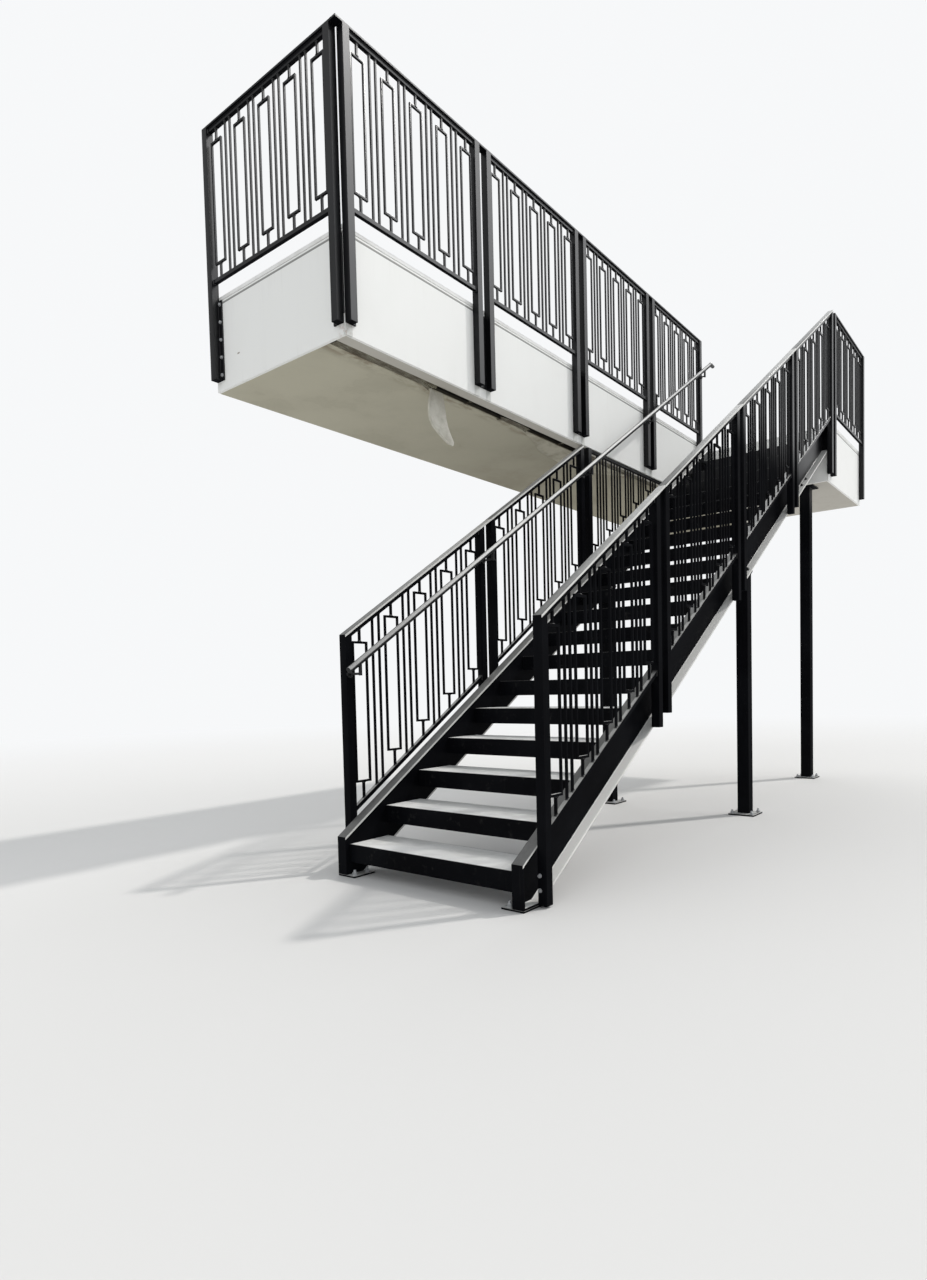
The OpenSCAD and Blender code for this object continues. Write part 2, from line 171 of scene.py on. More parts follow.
class Finish:
    """A material with one Principled shader, and short calls for the nodes that feed it."""

    def __init__(self, name, **constants):
        self.material = bpy.data.materials.new(name)
        self.material.use_nodes = True
        self.tree = self.material.node_tree
        self.shader = self.tree.nodes["Principled BSDF"]
        for socket, value in constants.items():
            self.shader.inputs[socket.replace("_", " ")].default_value = value
        coords = self.tree.nodes.new("ShaderNodeTexCoord")
        self.place = coords.outputs["Object"]
        split = self.add("ShaderNodeSeparateXYZ", {}, {0: self.place})
        self.x, self.y, self.z = (Value(self.tree, o) for o in split.outputs)
        geometry = self.tree.nodes.new("ShaderNodeNewGeometry")
        facing = self.add("ShaderNodeSeparateXYZ", {}, {0: geometry.outputs["Normal"]})
        self.nx, self.ny, self.nz = (Value(self.tree, o) for o in facing.outputs)

    def add(self, kind, settings, inputs):
        """A node of that kind, with its settings and with values or links in its sockets."""
        node = self.tree.nodes.new(kind)
        for key, value in settings.items():
            setattr(node, key, value)
        for key, value in inputs.items():
            if isinstance(value, Value):
                value = value.socket
            if isinstance(value, bpy.types.NodeSocket):
                self.tree.links.new(value, node.inputs[key])
            else:
                node.inputs[key].default_value = value
        return node

    def stretched(self, x, y, z, shift=0.0):
        """Object coordinates scaled along each axis, for grain, streaks and brush marks."""
        node = self.add("ShaderNodeMapping", {}, {"Vector": self.place})
        node.inputs["Scale"].default_value = (x, y, z)
        node.inputs["Location"].default_value = (shift, shift * 0.7, shift * 1.3)
        return node.outputs["Vector"]

    def noise(self, scale, detail=3.0, rough=0.55, where=None, distort=0.0):
        node = self.add("ShaderNodeTexNoise", {}, {
            "Vector": where or self.place, "Scale": scale, "Detail": detail,
            "Roughness": rough, "Distortion": distort})
        return Value(self.tree, node.outputs["Fac"])

    def cells(self, scale):
        """Distance to the nearest of scattered points, for spots and pores."""
        node = self.add("ShaderNodeTexVoronoi", {}, {"Vector": self.place, "Scale": scale})
        return Value(self.tree, node.outputs["Distance"])

    def mix(self, factor, first, second):
        """Colour between first and second, which are colours or sockets."""
        node = self.add("ShaderNodeMix", {"data_type": "RGBA"}, {})
        for index, value in ((0, factor), (6, first), (7, second)):
            if isinstance(value, Value):
                value = value.socket
            if isinstance(value, bpy.types.NodeSocket):
                self.tree.links.new(value, node.inputs[index])
            elif index == 0:
                node.inputs[index].default_value = value
            else:
                node.inputs[index].default_value = (*value, 1.0)
        return node.outputs[2]

    def feed(self, socket, value):
        """Links a value or a colour to the shader's socket."""
        self.tree.links.new(value.socket if isinstance(value, Value) else value,
                            self.shader.inputs[socket])

    def bump(self, height, strength, distance):
        node = self.add("ShaderNodeBump", {}, {"Strength": strength, "Distance": distance})
        self.tree.links.new(height.socket, node.inputs["Height"])
        self.tree.links.new(node.outputs["Normal"], self.shader.inputs["Normal"])


def black_steel(name, dust_and_glare_amount=0.5, dust_and_glare_colour=(0.46, 0.455, 0.44), rim=(0.45, 0.95), lean=0.0,
                wear=0.0, gloss=0.0, lit=0.20, highlight_bands=(), splashed_and_sunlit=False):
    """Satin black paint, glossier where it faces the sky and the front, with dusty tops, dried rain
    spots and painted highlights.

    dust_and_glare_amount and dust_and_glare_colour are the amount and colour of a pale layer on faces
    that look upwards, between the two limits of rim, or forwards of upwards by the angle lean.
    Facing up it is dusty paint and also a painted highlight for the glare of sky and sun; leaned
    forwards, as on the handrail, it is a painted highlight. wear is rubbed paint, and gloss and lit
    add coat all over and on top faces. highlight_bands are painted highlights: light bands on front
    faces, between two heights over the nosing line, but not on the gallery's guards. A
    splashed_and_sunlit piece has most of its pale layer low down, as dusty splashes and as painted
    sunlight on its lower flange.
    """
    f = Finish(name, Specular_IOR_Level=0.0, Coat_IOR=1.5, Coat_Roughness=0.34)
    patch = f.noise(2.3, 4.0, 0.6)
    fine = f.noise(60.0, 3.0, 0.6)
    runs = f.noise(1.0, 3.0, 0.6, f.stretched(60.0, 60.0, 2.0, 4.0))
    base = f.mix(patch.step(0.35, 0.7), (0.0030, 0.0031, 0.0040), (0.0056, 0.0060, 0.0074))
    up = (f.nz * math.cos(lean) - f.ny * math.sin(lean)).step(*rim)
    # Pale layer on up-facing faces: dust, and a painted highlight for the glare of sky and sun
    dust_and_glare = (up * (0.70 + fine * 0.4) * (0.6 + patch * 0.6) * dust_and_glare_amount).clamp()
    height = f.z - f.x * RAKE - nosing(0.0)
    # Dust and painted sunlight: most of the pale layer goes low on the stringer, on its lower flange
    if splashed_and_sunlit:
        dust_and_glare = dust_and_glare * (0.30 + height.step(-0.06, -0.14) * 0.70)
    # Painted highlight on a leaned piece: the pale layer is weaker below z -1.1 and weakest below z -2.1
    if lean:
        dust_and_glare = dust_and_glare * (0.45 + f.z.step(-2.1, -1.1) * 0.55)
    base = f.mix(dust_and_glare, base, dust_and_glare_colour)
    front = f.ny.step(-0.5, -0.9)
    gallery = f.y.within(GALLERY_Y - POST - 0.010, GALLERY_Y - POST + 0.020, 0.002)
    # Painted highlights: light bands along the front edges of the caps and of the stringers' flanges
    for low, top in highlight_bands:
        highlight_band = height.within(low, top, 0.001) * front * (1.0 - gallery)
        base = f.mix((highlight_band * (0.55 + patch * 0.6)).clamp(), base, (0.80, 0.79, 0.76))
    spots = f.cells(240.0).step(0.16, 0.10) * f.noise(9.0).step(0.5, 0.68) * 0.25
    base = f.mix(spots, base, (0.040, 0.040, 0.038))
    washed = runs.step(0.62, 0.80) * (1.0 - up) * 0.12
    base = f.mix(washed, base, (0.040, 0.040, 0.038))
    if wear:
        rub = f.noise(14.0, 5.0, 0.7).step(0.56, 0.72) * wear
        base = f.mix(rub, base, (0.040, 0.039, 0.037))
    f.feed("Base Color", base)
    high = f.z.step(-0.60, -0.10)
    sheen = high * (front + f.nx.step(-0.5, -0.9) * 0.45)
    f.feed("Coat Weight", (f.nz.step(0.30, 0.80) * lit + sheen + 0.05 + gloss).clamp())
    f.feed("Roughness", (0.30 + fine * 0.06 + patch * 0.08 + spots * 0.3 + washed * 0.6).clamp())
    peel = f.noise(700.0, 2.0) * 0.35 + f.noise(55.0, 2.0) * 0.65
    f.bump(peel, 0.12, 0.0006)
    return f.material


POSTS_END_X = 1.70
CORNER_STAIN = 0.075
MARK_Y, MARK_Z = -0.249, -0.081


def white_board():
    """White paint on smooth boards, with grey runs under the posts' feet, a few rust marks, and a
    painted shadow line under the kerb's drip edge.
    """
    f = Finish("fascia_paint", Roughness=0.55, Specular_IOR_Level=0.35)
    runs = f.noise(1.0, 4.0, 0.6, f.stretched(26.0, 26.0, 1.6, 3.0))
    broad = f.noise(1.7, 4.0, 0.6, f.stretched(1.0, 1.0, 0.7, 9.0))
    top = f.z.step(0.05, 0.30)
    low = f.z.step(-0.20, -0.27)
    dirt = (runs.step(0.52, 0.80) * (0.04 + top * 0.12 + low * 0.16)
            + broad.step(0.50, 0.85) * 0.10).clamp()
    base = f.mix(dirt, (0.87, 0.87, 0.845), (0.60, 0.59, 0.55))
    # Painted shadow: a dark line on the vertical faces just over deck level, under the kerb's drip edge
    drip_shadow = f.z.within(DECK_Z + 0.010, DECK_Z + 0.020, 0.003) * f.nz.abs().step(0.6, 0.3)
    base = f.mix(drip_shadow * 0.85, base, (0.16, 0.16, 0.15))
    pitch = GALLERY_PANEL + POST_GAP
    along = ((f.x - NEAR_X) / pitch).fract() * pitch
    first, last = (0.0, POST), (GALLERY_PANEL - POST, GALLERY_PANEL)
    under = along.within(*first, 0.004) + along.within(*last, 0.004)
    front = f.y.step(GALLERY_Y + 0.02, GALLERY_Y + 0.01) * f.x.step(POSTS_END_X + 0.05, POSTS_END_X)
    below = f.z.step(POST_FOOT_Z + 0.004, POST_FOOT_Z)
    streak = (under.clamp() * front * below * (0.35 + runs * 0.5)).clamp()
    base = f.mix(streak, base, (0.50, 0.51, 0.48))
    corner = (f.x.step(NEAR_X + CORNER_STAIN, NEAR_X + 0.01)
              * f.y.step(GALLERY_Y + CORNER_STAIN, GALLERY_Y + 0.01))
    rusty = corner * below * f.noise(38.0, 4.0, 0.7).step(0.46, 0.66) * 0.55
    base = f.mix(rusty, base, (0.33, 0.17, 0.10))
    sparse = f.noise(3.1, 2.0, 0.5, f.stretched(1.0, 1.0, 1.0, 5.0)).step(0.62, 0.70)
    specks = f.cells(14.0).step(0.045, 0.025) * sparse
    base = f.mix(specks * 0.8, base, (0.23, 0.17, 0.12))
    mark = (f.y - MARK_Y).abs().step(0.016, 0.008) * (f.z - MARK_Z).abs().step(0.006, 0.003)
    base = f.mix(mark * f.x.step(NEAR_X + 0.01, NEAR_X + 0.005) * 0.85, base, (0.20, 0.15, 0.10))
    f.feed("Base Color", base)
    f.feed("Roughness", 0.5 + dirt * 0.25 + streak * 0.2)
    skin = f.noise(420.0, 2.0) * 0.5 + f.noise(18.0, 3.0) * 0.8
    f.bump(skin, 0.10, 0.0012)
    return f.material


def kerb_paint():
    """Grey white coating on the low kerb."""
    f = Finish("kerb_paint", Roughness=0.6, Specular_IOR_Level=0.35)
    stain = f.noise(5.0, 5.0, 0.65)
    base = f.mix(stain.step(0.4, 0.75) * 0.6, (0.88, 0.88, 0.86), (0.64, 0.63, 0.60))
    f.feed("Base Color", base)
    f.feed("Roughness", 0.5 + stain * 0.25)
    f.bump(f.noise(160.0, 3.0) + f.noise(30.0, 2.0), 0.15, 0.0012)
    return f.material


def soffit_paint():
    """Beige matt paint, greyer towards the far end as painted shade, brown by the torn vent, and near
    black in the slot as painted shade.
    """
    f = Finish("soffit_paint", Roughness=0.75, Specular_IOR_Level=0.25)
    near_slot = (f.y - (SLOT_Y0 + SLOT_Y1) / 2).abs().step(0.16, 0.045)
    on_gallery = f.x.step(HEAD_X + 0.01, HEAD_X)
    cloud = f.noise(1.3, 5.0, 0.6)
    blotch = f.noise(7.0, 5.0, 0.65, f.stretched(0.7, 1.6, 1.0, 6.0))
    # Damp clouds, and painted shade that darkens the paint towards the far end
    damp_and_shade = (cloud.step(0.40, 0.70) * 0.25 + f.x.step(-3.0, 0.2) * 0.70).clamp()
    base = f.mix(damp_and_shade, (0.50, 0.475, 0.370), (0.255, 0.235, 0.175))
    edge = f.y.step(SLOT_Y0 + 0.002, SLOT_Y0 - 0.002)
    base = f.mix(edge * 0.85, base, (0.53, 0.51, 0.465))
    brown = (near_slot * on_gallery * blotch.step(0.40, 0.62) * (1.0 - edge * 0.9)).clamp()
    base = f.mix(brown * 0.75, base, (0.19, 0.145, 0.095))
    ring = (cloud - 0.56).abs().step(0.02, 0.0) * 0.08
    base = f.mix(ring, base, (0.28, 0.23, 0.16))
    grime = f.noise(34.0, 4.0, 0.7).step(0.55, 0.8) * 0.12
    base = f.mix(grime, base, (0.26, 0.24, 0.20))
    # Painted shade: the slot's inner walls are painted near black
    slot_shade = f.z.step(SOFFIT_Z + 0.004, SOFFIT_Z + 0.007) * f.nz.abs().step(0.5, 0.3)
    base = f.mix(slot_shade * 0.9, base, (0.022, 0.019, 0.015))
    f.feed("Base Color", base)
    f.feed("Roughness", 0.7 + damp_and_shade * 0.15)
    f.bump(f.noise(240.0, 3.0) * 0.6 + f.noise(22.0, 3.0), 0.12, 0.001)
    return f.material


def deck_coating():
    """Grey roll-on deck coating with sand in it, and bare timber above the soffit slot, painted near
    black as painted shade.
    """
    f = Finish("deck_coating", Roughness=0.8, Specular_IOR_Level=0.3)
    grit = f.noise(380.0, 3.0, 0.7)
    broad = f.noise(2.2, 5.0, 0.6)
    base = f.mix(broad.step(0.35, 0.7), (0.35, 0.35, 0.34), (0.26, 0.26, 0.25))
    base = f.mix(grit.step(0.55, 0.75) * 0.5, base, (0.48, 0.47, 0.45))
    grain = f.noise(3.0, 4.0, 0.6, f.stretched(1.0, 24.0, 24.0, 8.0))
    # Painted shade: the timber seen up the slot is painted near black
    timber = f.mix(grain.step(0.4, 0.65), (0.012, 0.010, 0.008), (0.028, 0.022, 0.016))
    base = f.mix(f.z.step(-0.15, -0.18), base, timber)
    f.feed("Base Color", base)
    f.feed("Roughness", 0.7 + grit * 0.2)
    f.bump(grit + f.noise(40.0, 2.0) * 0.4, 0.35, 0.0012)
    return f.material


def tread_concrete():
    """Trowelled light concrete with swirls, sand and pores."""
    f = Finish("tread_concrete", Roughness=0.8, Specular_IOR_Level=0.3)
    swirl = f.noise(7.0, 5.0, 0.6, f.stretched(1.0, 0.45, 1.0, 2.0), 1.2)
    sand = f.noise(520.0, 3.0, 0.7)
    base = f.mix(swirl.step(0.35, 0.7), (0.80, 0.795, 0.775), (0.66, 0.655, 0.63))
    base = f.mix(sand.step(0.6, 0.8) * 0.30, base, (0.48, 0.47, 0.45))
    pores = f.cells(130.0).step(0.12, 0.06) * f.noise(20.0).step(0.5, 0.65)
    base = f.mix(pores * 0.6, base, (0.26, 0.25, 0.24))
    f.feed("Base Color", base)
    f.feed("Roughness", 0.72 + sand * 0.15)
    f.bump(sand * 0.5 + swirl * 0.6 - pores * 1.2, 0.3, 0.001)
    return f.material


HOLE_PITCH_X, HOLE_PITCH_Y = 0.0150, 0.0066


def vent_screen():
    """Thin painted strip with rows of small holes, brown with wet stains and rust; the holes are painted
    near black as painted shade.
    """
    f = Finish("vent_screen", Roughness=0.7, Specular_IOR_Level=0.3)
    across = ((f.y - SLOT_Y0) / HOLE_PITCH_Y).fract()
    along = (f.x / HOLE_PITCH_X).fract()
    holes = across.within(0.30, 0.70, 0.08) * along.within(0.15, 0.85, 0.06)
    blotch = f.noise(9.0, 5.0, 0.7, f.stretched(0.8, 1.6, 1.0, 12.0))
    base = f.mix(blotch.step(0.36, 0.60), (0.27, 0.255, 0.185), (0.115, 0.095, 0.062))
    rust = f.noise(55.0, 4.0, 0.7).step(0.55, 0.72) * blotch.step(0.42, 0.6)
    base = f.mix(rust * 0.35, base, (0.13, 0.070, 0.034))
    # Painted shade: the holes are painted near black, for the dark slot seen through them
    base = f.mix(holes * 0.85, base, (0.010, 0.009, 0.008))
    f.feed("Base Color", base)
    f.feed("Roughness", 0.62 + blotch * 0.25)
    f.bump(f.noise(90.0, 3.0) * 0.6 - holes * 0.9, 0.4, 0.0012)
    return f.material


def torn_facing(name, pale, grey):
    """Facing paper that has come off the boards, clouded from pale to grey, with fibres."""
    f = Finish(name, Roughness=0.85, Specular_IOR_Level=0.2)
    fibre = f.noise(6.0, 5.0, 0.7, f.stretched(30.0, 30.0, 6.0, 4.0))
    cloud = f.noise(9.0, 4.0, 0.6)
    base = f.mix(cloud.step(0.35, 0.7), pale, grey)
    base = f.mix(fibre.step(0.55, 0.75) * 0.5, base, (0.28, 0.25, 0.20))
    f.feed("Base Color", base)
    f.feed("Roughness", 0.8 + fibre * 0.15)
    f.bump(fibre + cloud * 0.6, 0.35, 0.0012)
    return f.material


def zinc():
    """Dull zinc on bolt heads, nuts and washers."""
    f = Finish("zinc_fasteners", Metallic=0.65, Specular_IOR_Level=0.5)
    spangle = f.noise(420.0, 3.0, 0.6)
    dirt = f.noise(70.0, 4.0, 0.65)
    base = f.mix(spangle.step(0.4, 0.6), (0.46, 0.47, 0.48), (0.34, 0.35, 0.36))
    base = f.mix(dirt.step(0.55, 0.75) * 0.6, base, (0.16, 0.145, 0.125))
    f.feed("Base Color", base)
    f.feed("Roughness", 0.42 + dirt * 0.3)
    f.bump(spangle * 0.5 + dirt, 0.15, 0.0004)
    return f.material


def weld_metal():
    """Black paint on weld beads and small bolts, with a fine ripple."""
    f = Finish("painted_weld", Specular_IOR_Level=0.32)
    ripple = f.noise(520.0, 2.0, 0.5)
    patch = f.noise(40.0, 3.0, 0.6)
    base = f.mix(patch.step(0.4, 0.7), (0.008, 0.008, 0.009), (0.018, 0.018, 0.018))
    f.feed("Base Color", base)
    f.feed("Roughness", 0.30 + patch * 0.25)
    f.bump(ripple, 0.5, 0.0012)
    return f.material


# How far a painted highlight band reaches past the edge that it marks
HIGHLIGHT_OVER = 0.004
CAP_HIGHLIGHT = (GUARD_H - CAP_T * PLUMB, GUARD_H + HIGHLIGHT_OVER)
STRINGER_HIGHLIGHTS = [(STRINGER_RISE - FLANGE_T, STRINGER_RISE + HIGHLIGHT_OVER),
                 (STRINGER_LOW - HIGHLIGHT_OVER, STRINGER_LOW + FLANGE_T)]
FINISHES = {
    "steel_black": black_steel("satin_black", dust_and_glare_amount=1.15, highlight_bands=[CAP_HIGHLIGHT]),
    "fascia_white": white_board(),
    "kerb_white": kerb_paint(),
    "soffit_beige": soffit_paint(),
    "deck_coating": deck_coating(),
    "tread_concrete": tread_concrete(),
}
TREAD_STEEL = black_steel("satin_black_treads", wear=0.4)
# Stringers: dust and painted sunlight, mostly low down, with painted highlight bands along the flanges'
# edges
STRINGER_STEEL = black_steel("splashed_black_painted_sun", dust_and_glare_amount=1.9, dust_and_glare_colour=(0.86, 0.85, 0.82), lit=0.6,
                             highlight_bands=STRINGER_HIGHLIGHTS, splashed_and_sunlit=True)
# Handrail: its pale layer, leaned forwards, is a painted highlight along the rail
HANDRAIL_STEEL = black_steel("handled_black_painted_highlight", dust_and_glare_amount=2.0, dust_and_glare_colour=(0.72, 0.71, 0.69), rim=(0.62, 0.94),
                             lean=0.70, gloss=0.60)
VENT, ZINC, WELD = vent_screen(), zinc(), weld_metal()
FACING = torn_facing("torn_facing", (0.68, 0.66, 0.59), (0.50, 0.48, 0.41))
LOOSE = torn_facing("loose_facing_paper", (0.49, 0.465, 0.375), (0.33, 0.305, 0.235))

slots = {part["node"]: part["material_slot"] for part in frame["record"]["subparts"]}


def finish_of(name):
    """The material of the CAD node with that name."""
    if name.startswith("stringer"):
        return STRINGER_STEEL
    if name == "handrail":
        return HANDRAIL_STEEL
    if name.startswith("tread_") and name != "tread_fills":
        return TREAD_STEEL
    return FINISHES[slots[name]]


for name, obj in nodes.items():
    obj.data.materials.clear()
    obj.data.materials.append(finish_of(name))


class Graph:
    """A Geometry Nodes group with short calls for its sockets and nodes."""

    def __init__(self, name, floats=(), material=False):
        self.tree = bpy.data.node_groups.new(name, "GeometryNodeTree")
        new = self.tree.interface.new_socket
        new("Geometry", in_out="OUTPUT", socket_type="NodeSocketGeometry")
        new("Geometry", in_out="INPUT", socket_type="NodeSocketGeometry")
        for socket in floats:
            new(socket, in_out="INPUT", socket_type="NodeSocketFloat")
        if material:
            new("Material", in_out="INPUT", socket_type="NodeSocketMaterial")
        self.given = self.tree.nodes.new("NodeGroupInput").outputs
        self.out = self.tree.nodes.new("NodeGroupOutput").inputs

    def add(self, kind, inputs=None, **settings):
        """The first output of a node of that kind; a list links several to one socket."""
        node = self.tree.nodes.new(kind)
        for key, value in settings.items():
            setattr(node, key, value)
        for key, value in (inputs or {}).items():
            for one in value if isinstance(value, list) else [value]:
                if isinstance(one, bpy.types.NodeSocket):
                    self.tree.links.new(one, node.inputs[key])
                else:
                    node.inputs[key].default_value = one
        return node.outputs[0]

    def put_on(self, obj, values):
        """Adds the group to obj as a modifier, with its inputs set by name."""
        modifier = obj.modifiers.new(self.tree.name, "NODES")
        modifier.node_group = self.tree
        for item in self.tree.interface.items_tree:
            if item.in_out == "INPUT" and item.name in values:
                modifier[item.identifier] = values[item.name]


def shading_tool():
    """Drops the stored normals, then shades smooth except across edges over Angle."""
    g = Graph("plain_shading", floats=["Angle"])
    clean = g.add("GeometryNodeRemoveAttribute",
                  {"Geometry": g.given["Geometry"], "Name": "custom_normal"})
    smooth = g.add("GeometryNodeSetShadeSmooth", {"Geometry": clean, "Shade Smooth": True},
                   domain="FACE")
    angle = g.add("GeometryNodeInputMeshEdgeAngle")
    sharp = g.add("FunctionNodeCompare", {0: angle, 1: g.given["Angle"]}, data_type="FLOAT",
                  operation="GREATER_THAN")
    hard = g.add("GeometryNodeSetShadeSmooth",
                 {"Geometry": smooth, "Selection": sharp, "Shade Smooth": False}, domain="EDGE")
    g.tree.links.new(hard, g.out["Geometry"])
    return g


SHADING = shading_tool()
WELD_WITHIN = 0.00004
BEVEL_OVER, HARD_OVER = math.radians(35), math.radians(34)


def soften(obj, width, segments):
    """Rounds a CAD node's edges by width, in metres, and gives it clean shading."""
    weld = obj.modifiers.new("weld", "WELD")
    weld.merge_threshold = WELD_WITHIN
    if width:
        bevel = obj.modifiers.new("edges", "BEVEL")
        bevel.width = width
        bevel.segments = segments
        bevel.limit_method = "ANGLE"
        bevel.angle_limit = BEVEL_OVER
        bevel.miter_outer = "MITER_ARC" if segments > 1 else "MITER_SHARP"
    SHADING.put_on(obj, {"Angle": HARD_OVER})
    if segments > 1:
        normals = obj.modifiers.new("normals", "WEIGHTED_NORMAL")
        normals.keep_sharp = True


# Rounding and its segments, by the start of a node's name; the other nodes stay sharp
EDGES = {"guard": (0.0012, 1), "tread_": (0.0012, 1), "stringer": (0.0016, 1),
         "column": (0.004, 3), "foot": (0.0012, 1), "edge_kerb": (0.003, 2),
         "gallery_fascia": (0.0015, 1), "landing_fascia": (0.0015, 1)}
for name, obj in nodes.items():
    if name != "tread_fills":
        soften(obj, *next((edge for start, edge in EDGES.items() if name.startswith(start)), (0, 1)))


def add_piece(name, verts, faces, material):
    """One mesh that rides on the stair, with its faces turned outwards."""
    mesh = bpy.data.meshes.new(name)
    mesh.from_pydata(verts, [], faces)
    build = bmesh.new()
    build.from_mesh(mesh)
    bmesh.ops.recalc_face_normals(build, faces=build.faces)
    build.to_mesh(mesh)
    build.free()
    mesh.materials.append(material)
    obj = bpy.data.objects.new(name, mesh)
    bpy.context.scene.collection.objects.link(obj)
    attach(obj, "root")
    return obj


def make_plain(obj):
    """Turns what the modifiers of obj build into its mesh."""
    bpy.context.view_layer.update()
    graph = bpy.context.evaluated_depsgraph_get()
    built = bpy.data.meshes.new_from_object(obj.evaluated_get(graph), depsgraph=graph)
    obj.modifiers.clear()
    obj.data = built


FASTENER_SIZES = ("Washer Radius", "Washer Height", "Head Radius", "Head Height",
                  "Stud Radius", "Stud Height")


def fastener_tool():
    """Puts a washer, a chamfered hexagon and a stud end on every point, turned by its own angle."""
    g = Graph("fasteners", floats=FASTENER_SIZES, material=True)

    def drum(sides, low, top, height, lift):
        shape = g.add("GeometryNodeMeshCone", {"Vertices": sides, "Radius Bottom": low,
                                               "Radius Top": top, "Depth": height})
        where = g.add("ShaderNodeCombineXYZ", {"Z": lift})
        return g.add("GeometryNodeTransform", {"Geometry": shape, "Translation": where})

    def plus(a, b):
        return g.add("ShaderNodeMath", {0: a, 1: b}, operation="ADD")

    def times(a, b):
        return g.add("ShaderNodeMath", {0: a, 1: b}, operation="MULTIPLY")

    washer_r, washer_h, head_r, head_h, stud_r, stud_h = (g.given[name] for name in FASTENER_SIZES)
    body_h = times(head_h, 0.8)
    parts = [
        drum(16, washer_r, times(washer_r, 0.97), washer_h, 0.0),
        drum(6, head_r, head_r, body_h, washer_h),
        drum(6, head_r, times(head_r, 0.82), times(head_h, 0.2), plus(washer_h, body_h)),
        drum(10, stud_r, times(stud_r, 0.85), stud_h, plus(washer_h, head_h))]
    joined = g.add("GeometryNodeJoinGeometry", {"Geometry": parts})
    turn = g.add("GeometryNodeInputNamedAttribute", {"Name": "turn"}, data_type="FLOAT_VECTOR")
    turn = g.add("FunctionNodeEulerToRotation", {"Euler": turn})
    placed = g.add("GeometryNodeInstanceOnPoints",
                   {"Points": g.given["Geometry"], "Instance": joined, "Rotation": turn})
    real = g.add("GeometryNodeRealizeInstances", {"Geometry": placed})
    flat = g.add("GeometryNodeSetShadeSmooth", {"Geometry": real, "Shade Smooth": False},
                 domain="FACE")
    done = g.add("GeometryNodeSetMaterial", {"Geometry": flat, "Material": g.given["Material"]})
    g.tree.links.new(done, g.out["Geometry"])
    return g


FASTENERS = fastener_tool()
spin = random.Random(7)


def fasten(name, places, material, sizes):
    """Fasteners at places, each a point and the direction that it faces, as one piece."""
    mesh = bpy.data.meshes.new(name)
    mesh.from_pydata([point for point, _ in places], [], [])
    turn = mesh.attributes.new("turn", "FLOAT_VECTOR", "POINT")
    for i, (_, facing) in enumerate(places):
        own = Matrix.Rotation(spin.uniform(0, 1.04), 3, "Z").to_quaternion()
        turn.data[i].vector = (Vector(facing).to_track_quat("Z", "Y") @ own).to_euler()
    obj = bpy.data.objects.new(name, mesh)
    bpy.context.scene.collection.objects.link(obj)
    FASTENERS.put_on(obj, {**dict(zip(FASTENER_SIZES, sizes)), "Material": material})
    make_plain(obj)
    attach(obj, "root")


def centre(node):
    """Middle of a CAD node's box."""
    low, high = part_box(node)
    return (low + high) / 2


# Anchors through the base and foot plates
UP, AWAY, OUTWARDS = (0, 0, 1), (-1, 0, 0), (0, -1, 0)
ANCHOR_NUT = (0.0165, 0.003, 0.0138, 0.013, 0.0080, 0.012)
anchors = []
for name in ("column_open_side", "column_wall_side", "column_landing"):
    middle = centre(name)
    anchors += [((middle.x + dx, middle.y + dy, GROUND_Z + COLUMN_PLATE_T), UP)
                for dx in (-ANCHOR_AT, ANCHOR_AT) for dy in (-ANCHOR_AT, ANCHOR_AT)]
foot_x = FOOT_X - FOOT_LEAD + FOOT_PLATE_L / 2
for hole_y in (WALL_WEB_Y - FOOT_HOLE_IN, OPEN_WEB_Y + FOOT_HOLE_IN):
    anchors += [((foot_x + dx, hole_y, GROUND_Z + FOOT_PLATE_T), UP)
                for dx in (-FOOT_HOLE_AT, FOOT_HOLE_AT)]
fasten("anchor_nuts", anchors, ZINC, ANCHOR_NUT)

# Heads on the flange that holds the near guard, and at the newel's foot
FLANGE_HEAD = (0.0120, 0.002, 0.0105, 0.0075, 0.0030, 0.0010)
NEWEL_HEAD = (0.0110, 0.002, 0.0095, 0.0070, 0.0030, 0.0010)
FLANGE_HEAD_Z = (0.276, 0.163, 0.050, -0.062, -0.176)
NEWEL_HEAD_Z = (-3.139, -3.208)
flange_face = NEAR_X - END_FLANGE_T
flange_bolt_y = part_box("guard_gallery_end")[1].y - POST - END_FLANGE_W / 2
newel_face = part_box("guard_open_1")[0].x
newel_bolt_y = OPEN_TIP_Y - POST / 4
fasten("flange_bolts", [((flange_face, flange_bolt_y, z), AWAY) for z in FLANGE_HEAD_Z],
       ZINC, FLANGE_HEAD)
fasten("newel_bolts", [((newel_face, newel_bolt_y, z), AWAY) for z in NEWEL_HEAD_Z],
       ZINC, NEWEL_HEAD)

# Bolts through the stringers' lower flanges: near the head, and over the columns' head plates
STRINGER_NUT = (0.0135, 0.0025, 0.0125, 0.0105, 0.0070, 0.0060)
STRINGER_HEAD = (0.0135, 0.0025, 0.0125, 0.0085, 0.0030, 0.0010)
STRINGER_BOLT_X = (1.205, 1.075)
FLANGE_BOLT_OUT, PLATE_BOLT_AT = 0.034, 0.063
column_x = centre("column_open_side").x
bolts = [(x, 0.0) for x in STRINGER_BOLT_X]
bolts += [(column_x + dx, COLUMN_PLATE_T * PLUMB) for dx in (-PLATE_BOLT_AT, PLATE_BOLT_AT)]
slope_up = Vector((-RAKE, 0, 1)).normalized()
tops, heads = [], []
for y in (OPEN_WEB_Y - FLANGE_BOLT_OUT, WALL_WEB_Y + FLANGE_BOLT_OUT):
    for x, plate in bolts:
        z = nosing(x) + STRINGER_LOW
        tops.append(((x, y, z + FLANGE_T), slope_up))
        heads.append(((x, y, z - plate), -slope_up))
fasten("flange_nuts", tops, WELD, STRINGER_NUT)
